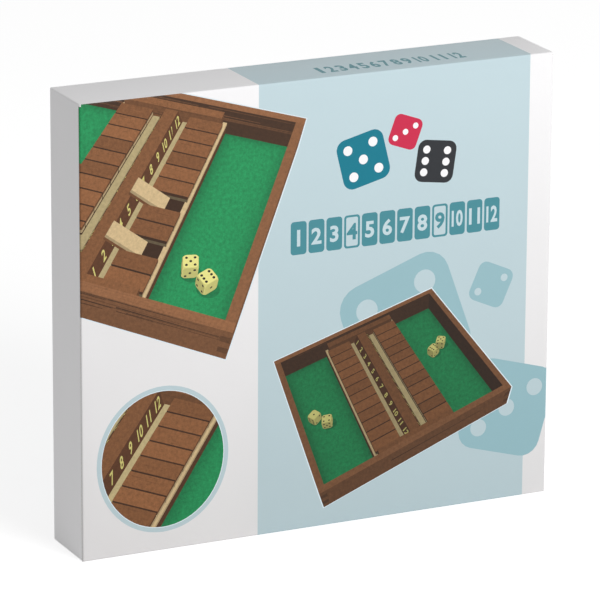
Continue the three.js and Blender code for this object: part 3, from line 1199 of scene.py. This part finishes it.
def make_board_flap(node, thin_axis, printed_side):
    """A flap of the cover: board with two rounded corners at its free edge, printed on one side."""
    low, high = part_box(node)
    wide_axis = 2 - thin_axis
    width, length = high[wide_axis] - low[wide_axis], high.y - low.y
    outline = [(0, 0), (width, 0)]
    for start, across in ((0, width - flap_corner), (90, flap_corner)):
        for angle in evenly(math.radians(start), math.radians(start + 90), 8):
            outline.append((across + flap_corner * math.cos(angle),
                            length - flap_corner + flap_corner * math.sin(angle)))

    def placed(across, out, level):
        point = Vector((0, low.y + out, 0))
        point[wide_axis], point[thin_axis] = low[wide_axis] + across, level
        return point

    points, faces = thick([outline], placed, low[thin_axis], high[thin_axis])
    shape = bmesh.new()
    shape.from_mesh(build_mesh(node, points, faces, []))
    bmesh.ops.recalc_face_normals(shape, faces=shape.faces[:])
    bmesh.ops.bevel(shape, geom=shape.edges[:], offset=0.2 * MM, segments=2, profile=0.5, affect="EDGES")
    for face in shape.faces:
        face.material_index = 0 if face.normal[thin_axis] * printed_side > 0.9 else 1
    mesh = mesh_of(shape, node, printed_paper, board_face)
    put_inks(mesh, [white_high] * len(mesh.loops))
    soften(mesh, 50)
    new_piece(f"{node}_board", mesh, "cover", "cover_print", node)


# The game

sharp_angle = math.radians(30)


def refined(node, material, slot, bevel, steps=2):
    """Stands for a CAD node: the same shape with softened edges."""
    shape = bmesh.new()
    shape.from_mesh(bpy.data.objects[node].data)
    bmesh.ops.remove_doubles(shape, verts=shape.verts[:], dist=0.002 * MM)
    bmesh.ops.dissolve_limit(shape, angle_limit=math.radians(1), verts=shape.verts[:],
                             edges=shape.edges[:])
    sharp = [edge for edge in shape.edges
             if len(edge.link_faces) == 2 and edge.calc_face_angle(0) > sharp_angle]
    bmesh.ops.bevel(shape, geom=sharp, offset=bevel, segments=steps, profile=0.5, affect="EDGES",
                    clamp_overlap=True)
    mesh = mesh_of(shape, node, material)
    soften(mesh, 35)
    return new_piece(f"{node}_finished", mesh, body_of(bpy.data.objects[node])[0], slot, node)


def make_rod(node, material, slot, chamfer):
    """A turned rod along z with chamfered ends, in place of a faceted one."""
    low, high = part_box(node)
    middle = (low + high) / 2
    radius = (high.x - low.x) / 2
    rings = [(0.0, low.z), (radius - chamfer, low.z), (radius, low.z + chamfer),
             (radius, high.z - chamfer), (radius - chamfer, high.z), (0.0, high.z)]
    shape = bmesh.new()
    profile = [shape.verts.new((middle.x + out, middle.y, z)) for out, z in rings]
    edges = [shape.edges.new(pair) for pair in zip(profile, profile[1:])]
    bmesh.ops.spin(shape, geom=profile + edges, cent=middle, axis=(0, 0, 1), angle=2 * math.pi,
                   steps=64, use_merge=True)
    bmesh.ops.remove_doubles(shape, verts=shape.verts[:], dist=0.001 * MM)
    bmesh.ops.recalc_face_normals(shape, faces=shape.faces[:])
    mesh = mesh_of(shape, node, material)
    soften(mesh, 35)
    new_piece(f"{node}_turned", mesh, "carton", slot, node)


def make_felt(side, seed):
    """A laid sheet of felt with a slightly uneven surface and soft edges."""
    node = f"felt_bed_{side}"
    low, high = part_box(node)
    chance = random.Random(seed)
    columns, rows = 40, 120
    edge_fall, level_fall, wave_height = 0.22 * MM, 0.05 * MM, 0.06 * MM
    waves = [(chance.uniform(20, 90), chance.uniform(20, 90), chance.uniform(0, 6.3)) for _ in range(7)]
    front, back = [], []
    for row, z in enumerate(evenly(low.z, high.z, rows)):
        for column, x in enumerate(evenly(low.x, high.x, columns)):
            rise = sum(math.sin(a * x + b * z + c) for a, b, c in waves) / len(waves)
            fall = edge_fall if row in (0, rows) or column in (0, columns) else level_fall
            front.append((x, low.y + fall + wave_height * (1 + rise), z))
            back.append((x, high.y, z))
    stride = columns + 1
    quads = [(start, start + 1, start + stride + 1, start + stride)
             for row in range(rows) for start in range(row * stride, row * stride + columns)]
    mesh = build_mesh(node, front + back, closed_sheet(quads, len(front)), [green_felt])
    soften(mesh, 50)
    piece = new_piece(f"{node}_sheet", mesh, "carton", "felt", node)


die_faces = ((1, -1, 3), (1, 1, 4), (0, -1, 2), (0, 1, 5), (2, -1, 1), (2, 1, 6))
edge_share, hollow_share, hollow_depth, hollow_spread = 0.15, 0.12, 0.555, 0.26


def make_die(node, quarter_turns):
    """A die with rounded corners and 21 hollow pips."""
    low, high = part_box(node)
    centre, size = (low + high) / 2, high.x - low.x
    hollows = bmesh.new()
    for axis, side, count in die_faces:
        for across, up in pip_layout[count]:
            ball = bmesh.ops.create_icosphere(hollows, subdivisions=3, radius=hollow_share * size)
            spread = (hollow_spread * across, hollow_spread * up)
            place = along_axis(axis, side * hollow_depth, *spread) * size
            bmesh.ops.translate(hollows, vec=centre + place, verts=ball["verts"])
    mesh = with_space_cut(box_mesh(node, low, high, die_cream, edge_share * size, steps=6),
                          mesh_of(hollows, "hollows", pip_black))
    turn = Quaternion((0, 0, 1), math.pi / 2 * quarter_turns)
    for vertex in mesh.vertices:
        vertex.co = centre + turn @ (vertex.co - centre)
    soften(mesh, 40)
    new_piece(f"{node}_with_pips", mesh, node, "die_plastic", node)


def make_ridge_numbers():
    """Gold numbers in relief on both sloping faces of the ridge."""
    for side, name in ((-1, "ridge_numbers_left"), (1, "ridge_numbers_right")):
        points, faces = thick(list(ridge_numerals(side)), lambda *place: on_slope(side, *place),
                              numeral_relief, -numeral_sink)
        mesh = build_mesh(name, points, faces, [gold_ink])
        new_piece(name, mesh, "carton", "dark_sapele")


# Lights, background and floor

ambient_light = 0.44
lamp_way = Vector((0.30, -0.92, 0.36)).normalized()
lamp_distance, lamp_size, lamp_power = 2.6, 1.6, 36
floor_half, floor_grey, floor_glow = 30, 0.86, 0.55


def seen_directly(tree):
    """1 for what the camera sees, through glass or in a mirror too, and 0 for light on things."""
    path = make_node(tree, "ShaderNodeLightPath").outputs
    direct = math_node(tree, "MAXIMUM", path["Is Camera Ray"], path["Is Transmission Ray"])
    return math_node(tree, "MAXIMUM", direct, path["Is Glossy Ray"])


def make_world():
    world = bpy.data.worlds.new("studio")
    world.use_nodes = True
    bpy.context.scene.world = world
    tree = world.node_tree
    tree.nodes.clear()
    light, seen = (make_node(tree, "ShaderNodeBackground", {"Color": (1, 1, 1, 1), "Strength": strength})
                   for strength in (ambient_light, 1.0))
    blend = make_node(tree, "ShaderNodeMixShader",
                      {0: seen_directly(tree), 1: light.outputs[0], 2: seen.outputs[0]})
    make_node(tree, "ShaderNodeOutputWorld", {"Surface": blend.outputs[0]})


def make_lamp():
    data = bpy.data.lights.new("front_lamp", "AREA")
    data.shape = "DISK"
    data.size = lamp_size
    data.energy = lamp_power
    aim(add_object("front_lamp", data), (carton_low + carton_high) / 2, lamp_way, lamp_distance)


def make_floor():
    material, tree = new_material("pale_floor", Roughness=0.9, Specular_IOR_Level=0.0,
                                  Base_Color=(floor_grey, floor_grey, floor_grey, 1),
                                  Emission_Color=(1, 1, 1, 1))
    feed_shader(tree, Emission_Strength=math_node(tree, "MULTIPLY", seen_directly(tree), floor_glow))
    corners = [(x, y, 0) for x, y in rectangle(-floor_half, -floor_half, floor_half, floor_half)]
    floor = add_object("floor", build_mesh("floor", corners, [(0, 1, 2, 3)], [material]))


# Putting it all together

make_camera()
make_world()
make_lamp()
make_floor()
bpy.context.scene.view_settings.view_transform = "Standard"

front_print = front_drawing()
make_cover_panel(front_print)
make_carton_shell()
make_top_crease(front_print)
make_top_numbers()
make_board_flap("cover_tuck_flap", 2, -1)
make_board_flap("cover_left_dust_flap", 0, -1)
make_board_flap("cover_right_dust_flap", 0, 1)

for nodes, material, slot, bevel in (
        (("carton_left_liner", "carton_right_liner"), board_wall, "raw_board", 0.2),
        (("bottom_pad", "back_pad"), board_face, "raw_board", 0.2),
        (("tray_rail_bottom", "tray_rail_top"), sapele_x, "sapele", 0.5),
        (("tray_rail_left", "tray_rail_right"), sapele_z, "sapele", 0.5),
        (("tray_floor",), plywood, "plywood", 0.2),
        (("end_rail_bottom", "end_rail_top"), sapele_x, "sapele", 0.6)):
    for node in nodes:
        refined(node, material, slot, bevel * MM)
# The ridge's top face takes the lighter sapele; its slopes and other faces keep the darker wood.
ridge = refined("number_ridge", dark_sapele, "dark_sapele", 0.5 * MM)
ridge.data.materials.append(sapele_z)
for face in ridge.data.polygons:
    face.material_index = 1 if face.normal.y < -0.98 else 0
for side in ("left", "right"):
    refined(f"divider_{side}", dark_sapele, "dark_sapele", 0.3 * MM)
    refined(f"divider_cap_{side}", maple, "maple", 0.4 * MM)
    make_rod(f"tile_rod_{side}", steel, "steel_rod", 0.3 * MM)
    make_rod(f"dowel_{side}", maple, "maple", 0.5 * MM)
    for number in range(1, tile_count + 1):
        refined(f"tile_{side}_{number}", tile_wood, "tile_wood", 0.7 * MM, steps=3)
make_felt("left", 5)
make_felt("right", 6)
for quarter_turns, node in enumerate(("die_left_1", "die_left_2", "die_right_1", "die_right_2")):
    make_die(node, quarter_turns)
make_ridge_numbers()
